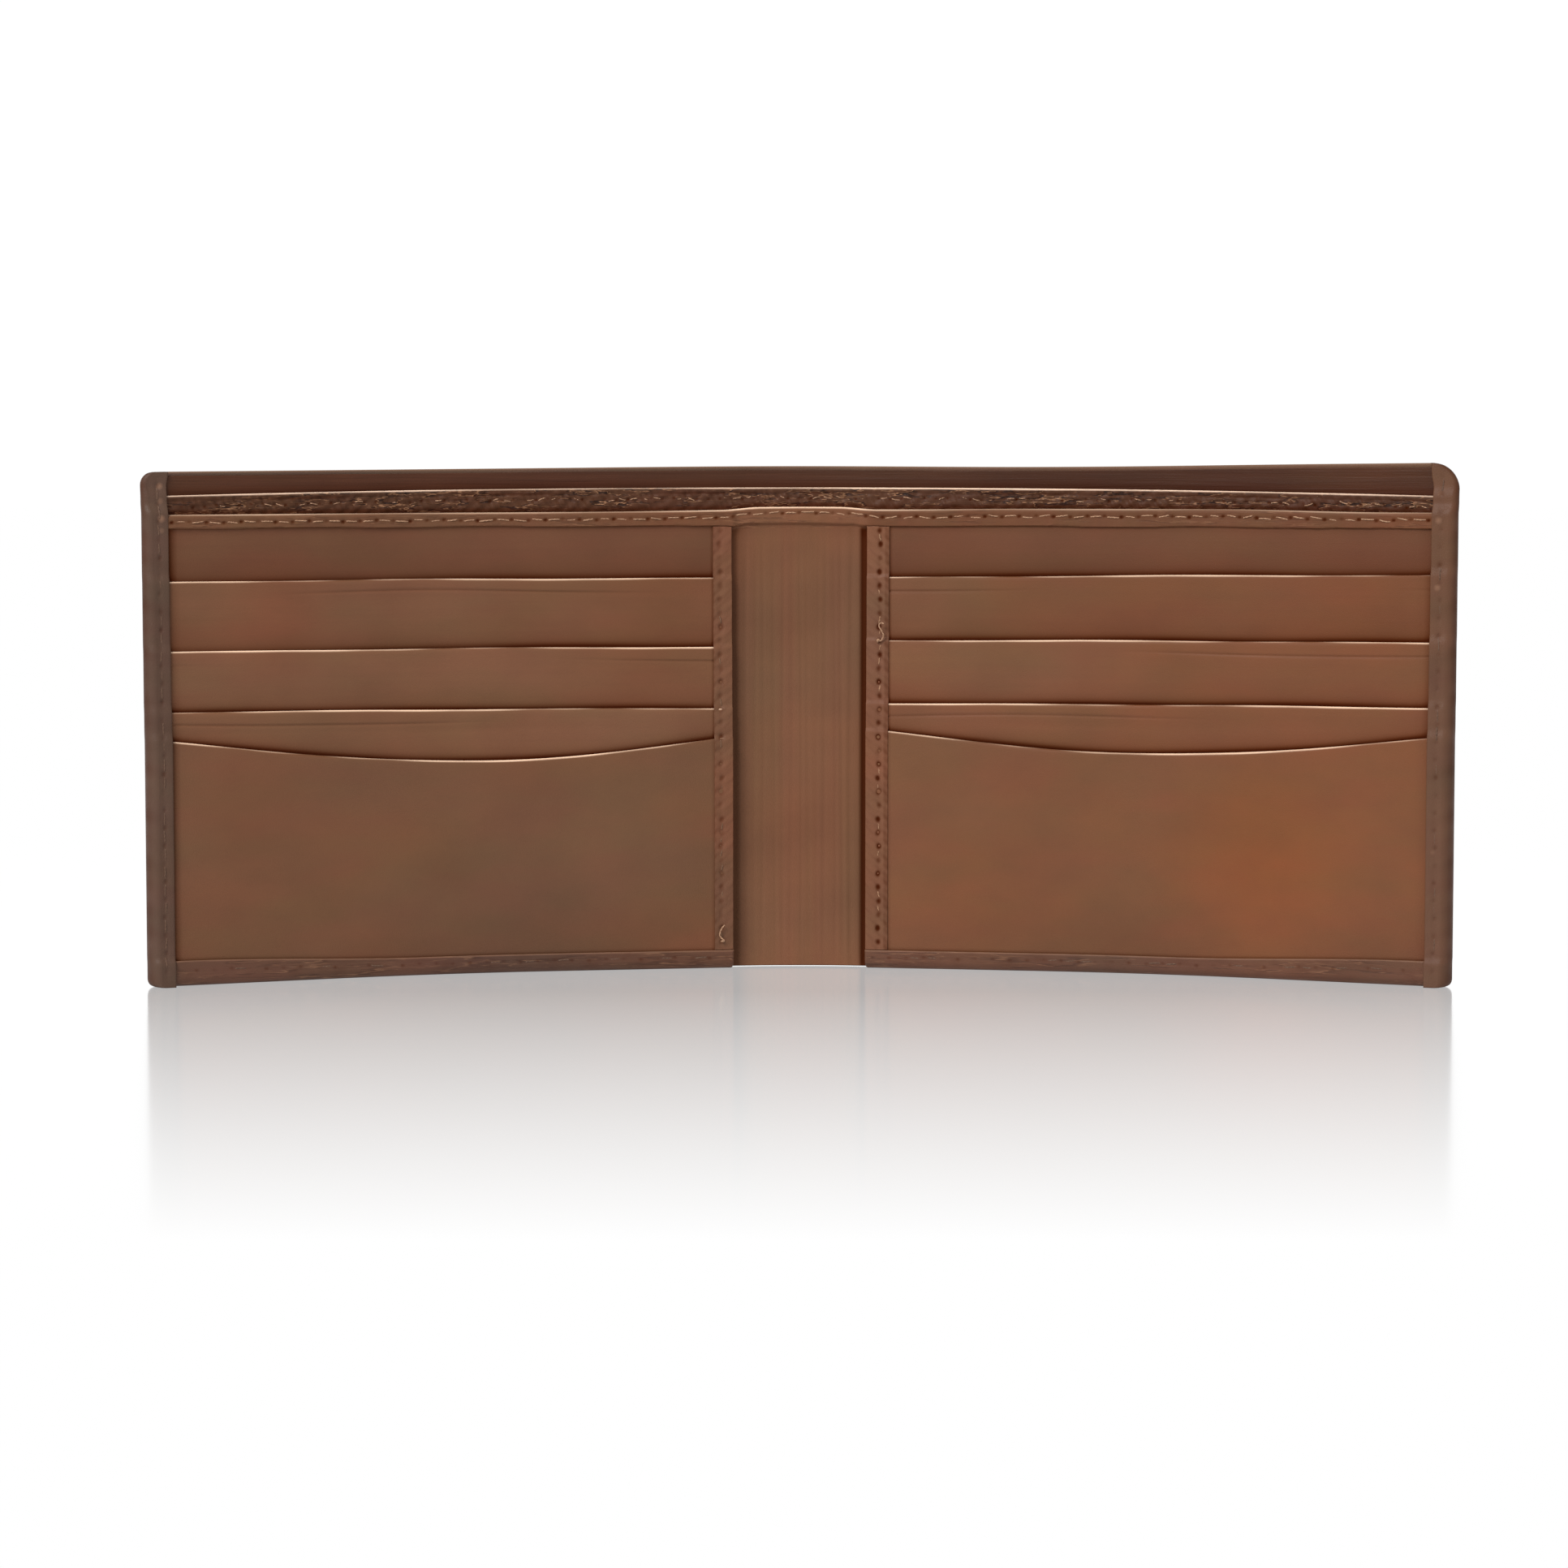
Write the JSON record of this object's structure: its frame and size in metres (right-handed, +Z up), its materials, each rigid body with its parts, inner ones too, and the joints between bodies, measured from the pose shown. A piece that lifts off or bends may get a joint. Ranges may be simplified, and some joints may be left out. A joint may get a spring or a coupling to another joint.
{
  "type": "bifold wallet",
  "caption": "Open leather bifold wallet: a stitched shell with a divided note compartment, and stepped card slots and a dipped front pocket on each half.",
  "frame": {"origin": "on the ground, at the middle of the bounding box's bottom face", "axes": "+X to the viewer's right along the open wallet, +Y from the inside towards the spine, +Z up; it stands on its long edge with both halves 15 degrees forward"},
  "size_m": [0.2334, 0.0364, 0.092],
  "materials": {
    "shell_leather": "smooth full-grain cowhide, dark brown, satin",
    "hem_leather": "the same leather turned over the edges, greyer where it is worn, satin",
    "panel_leather": "smooth full-grain cowhide, mid brown, satin",
    "pocket_leather": "smooth full-grain cowhide, warm tan brown, satin, with pale creased edges",
    "lining_leather": "thin split leather lining, dark brown, matt",
    "thread": "waxed polyester sewing thread, tan"
  },
  "bodies": {
    "spine_mid": {"spine_mid_shell": "shell_leather", "spine_mid_lining": "lining_leather", "spine_mid_divider": "panel_leather", "spine_mid_inner_panel": "panel_leather", "spine_mid_divider_thread": "thread", "spine_mid_panel_thread": "thread"},
    "spine_left": {"spine_left_shell": "shell_leather", "spine_left_lining": "lining_leather", "spine_left_divider": "panel_leather", "spine_left_inner_panel": "panel_leather", "spine_left_divider_thread": "thread", "spine_left_panel_thread": "thread"},
    "spine_right": {"spine_right_shell": "shell_leather", "spine_right_lining": "lining_leather", "spine_right_divider": "panel_leather", "spine_right_inner_panel": "panel_leather", "spine_right_divider_thread": "thread", "spine_right_panel_thread": "thread"},
    "left_wing": {"left_inner_panel": "panel_leather", "left_card_slot_1": "pocket_leather", "left_card_slot_2": "pocket_leather", "left_card_slot_3": "pocket_leather", "left_front_pocket": "pocket_leather", "left_side_hem": "hem_leather", "left_bottom_hem": "hem_leather", "left_side_seam_thread": "thread", "left_bottom_seam_thread": "thread", "left_stack_seam_thread": "thread", "left_panel_thread": "thread"},
    "left_cover": {"left_cover": "shell_leather", "left_cover_lining": "lining_leather"},
    "left_divider": {"left_divider": "panel_leather", "left_divider_thread": "thread"},
    "right_wing": {"right_inner_panel": "panel_leather", "right_card_slot_1": "pocket_leather", "right_card_slot_2": "pocket_leather", "right_card_slot_3": "pocket_leather", "right_front_pocket": "pocket_leather", "right_side_hem": "hem_leather", "right_bottom_hem": "hem_leather", "right_side_seam_thread": "thread", "right_bottom_seam_thread": "thread", "right_stack_seam_thread": "thread", "right_panel_thread": "thread"},
    "right_cover": {"right_cover": "shell_leather", "right_cover_lining": "lining_leather"},
    "right_divider": {"right_divider": "panel_leather", "right_divider_thread": "thread"}
  },
  "joints": [
    {"name": "wallet_fold", "type": "hinge", "parent": "spine_mid", "child": "spine_left", "pos_m": [-0.00315, 0.01756, 0.046], "axis": [0, 0, 1], "range_deg": [-7.5, 37.5]},
    {"name": "left_wing_fold", "type": "hinge", "parent": "spine_left", "child": "left_wing", "pos_m": [-0.0094, 0.01674, 0.046], "axis": [0, 0, 1], "range_deg": [-7.5, 37.5]},
    {"name": "right_spine_fold", "type": "hinge", "parent": "spine_mid", "child": "spine_right", "pos_m": [0.00315, 0.01756, 0.046], "axis": [0, 0, -1], "range_deg": [-7.5, 37.5]},
    {"name": "right_wing_fold", "type": "hinge", "parent": "spine_right", "child": "right_wing", "pos_m": [0.0094, 0.01674, 0.046], "axis": [0, 0, -1], "range_deg": [-7.5, 37.5]},
    {"name": "left_cover_opening", "type": "hinge", "parent": "left_wing", "child": "left_cover", "pos_m": [-0.05965, 0.00338, 0.0045], "axis": [-0.9659, -0.2588, 0], "range_deg": [0, 8.5], "stiffness_Nm_per_rad": 0.04, "springref_deg": -2.86},
    {"name": "left_divider_opening", "type": "hinge", "parent": "left_wing", "child": "left_divider", "pos_m": [-0.05917, 0.00159, 0.0045], "axis": [-0.9659, -0.2588, 0], "range_deg": [0, 4.25], "stiffness_Nm_per_rad": 0.02, "springref_deg": -2.86},
    {"name": "right_cover_opening", "type": "hinge", "parent": "right_wing", "child": "right_cover", "pos_m": [0.05965, 0.00338, 0.0045], "axis": [-0.9659, 0.2588, 0], "range_deg": [0, 8.5], "stiffness_Nm_per_rad": 0.04, "springref_deg": -2.86},
    {"name": "right_divider_opening", "type": "hinge", "parent": "right_wing", "child": "right_divider", "pos_m": [0.05917, 0.00159, 0.0045], "axis": [-0.9659, 0.2588, 0], "range_deg": [0, 4.25], "stiffness_Nm_per_rad": 0.02, "springref_deg": -2.86}
  ],
  "couplings": [
    {"joint": "left_wing_fold", "follows": "wallet_fold", "ratio": 1},
    {"joint": "right_spine_fold", "follows": "wallet_fold", "ratio": 1},
    {"joint": "right_wing_fold", "follows": "wallet_fold", "ratio": 1},
    {"joint": "left_divider_opening", "follows": "left_cover_opening", "ratio": 0.5},
    {"joint": "right_divider_opening", "follows": "right_cover_opening", "ratio": 0.5}
  ]
}
